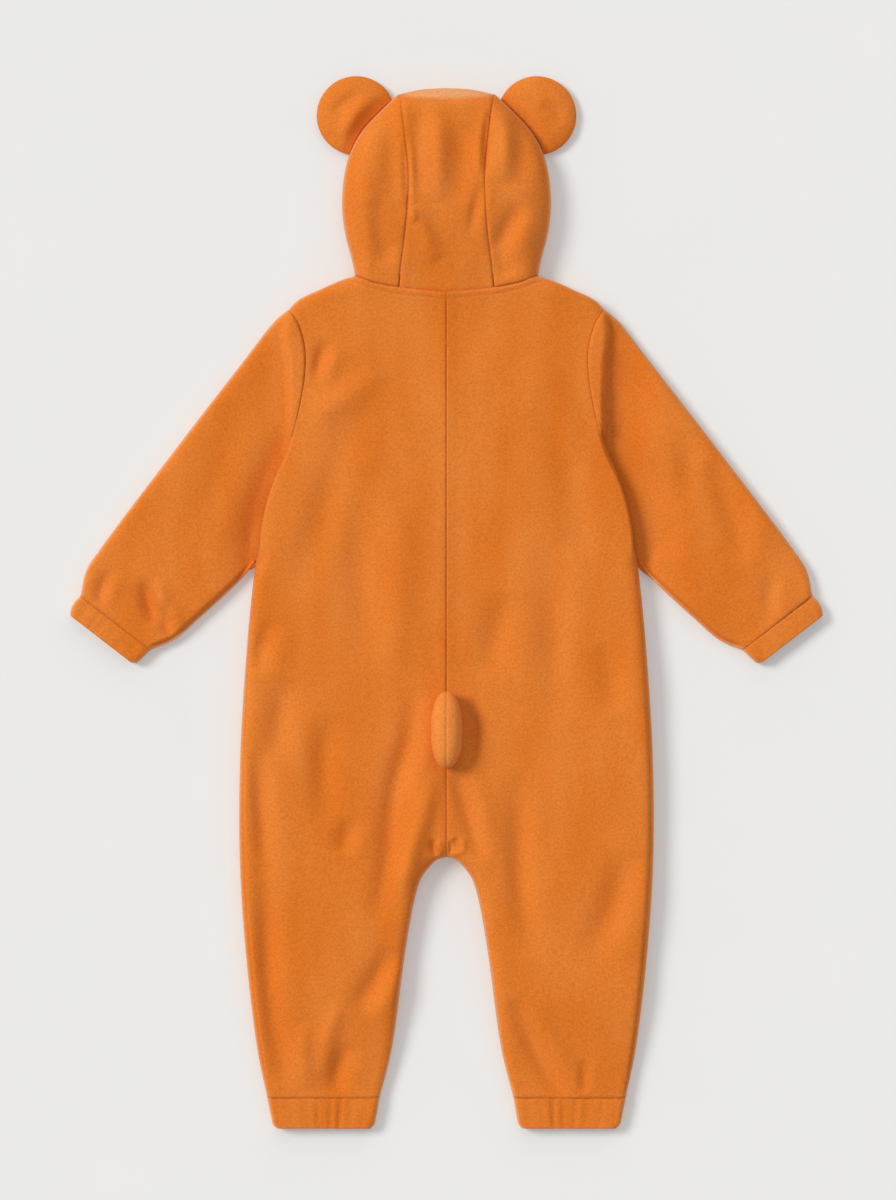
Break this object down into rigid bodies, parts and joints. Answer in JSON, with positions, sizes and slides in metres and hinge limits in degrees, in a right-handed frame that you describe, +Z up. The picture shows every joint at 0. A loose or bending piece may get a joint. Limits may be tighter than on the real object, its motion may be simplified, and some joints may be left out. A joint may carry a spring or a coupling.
{
  "type": "child's fleece hamster costume onesie laid flat",
  "caption": "Child's hooded fleece onesie with round ears, gathered cuffs, a stuffed tail and a front zip, laid out flat on its front.",
  "frame": {"origin": "middle of the laid-out garment's box, on the surface that it lies on", "axes": "+Y towards the hood, +Z up from the surface towards the garment's back, +X towards the wearer's right"},
  "size_m": [0.663, 0.9268, 0.0543],
  "materials": {
    "fleece": "matt short-napped polyester fleece, orange",
    "zip_tape": "woven polyester tape and nylon coil, dyed to match",
    "zip_metal": "satin die-cast metal"
  },
  "bodies": {
    "garment": {"back_left": "fleece", "back_right": "fleece", "front_left": "fleece", "front_right": "fleece", "sleeve_left": "fleece", "sleeve_right": "fleece", "cuff_left": "fleece", "cuff_right": "fleece", "ankle_cuff_left": "fleece", "ankle_cuff_right": "fleece", "hood_centre": "fleece", "hood_side_left": "fleece", "hood_side_right": "fleece", "ear_left_back": "fleece", "ear_left_front": "fleece", "ear_right_back": "fleece", "ear_right_front": "fleece", "tail_left": "fleece", "tail_right": "fleece", "zip_tape_left": "zip_tape", "zip_tape_right": "zip_tape", "zip_coil": "zip_tape", "zip_slider": "zip_metal"},
    "pull_tab": {"zip_pull": "zip_metal"}
  },
  "joints": [
    {"name": "pull_tab_hinge", "type": "hinge", "parent": "garment", "child": "pull_tab", "pos_m": [0, 0.228, 0.00205], "axis": [1, 0, 0], "range_deg": [0, 170]}
  ]
}
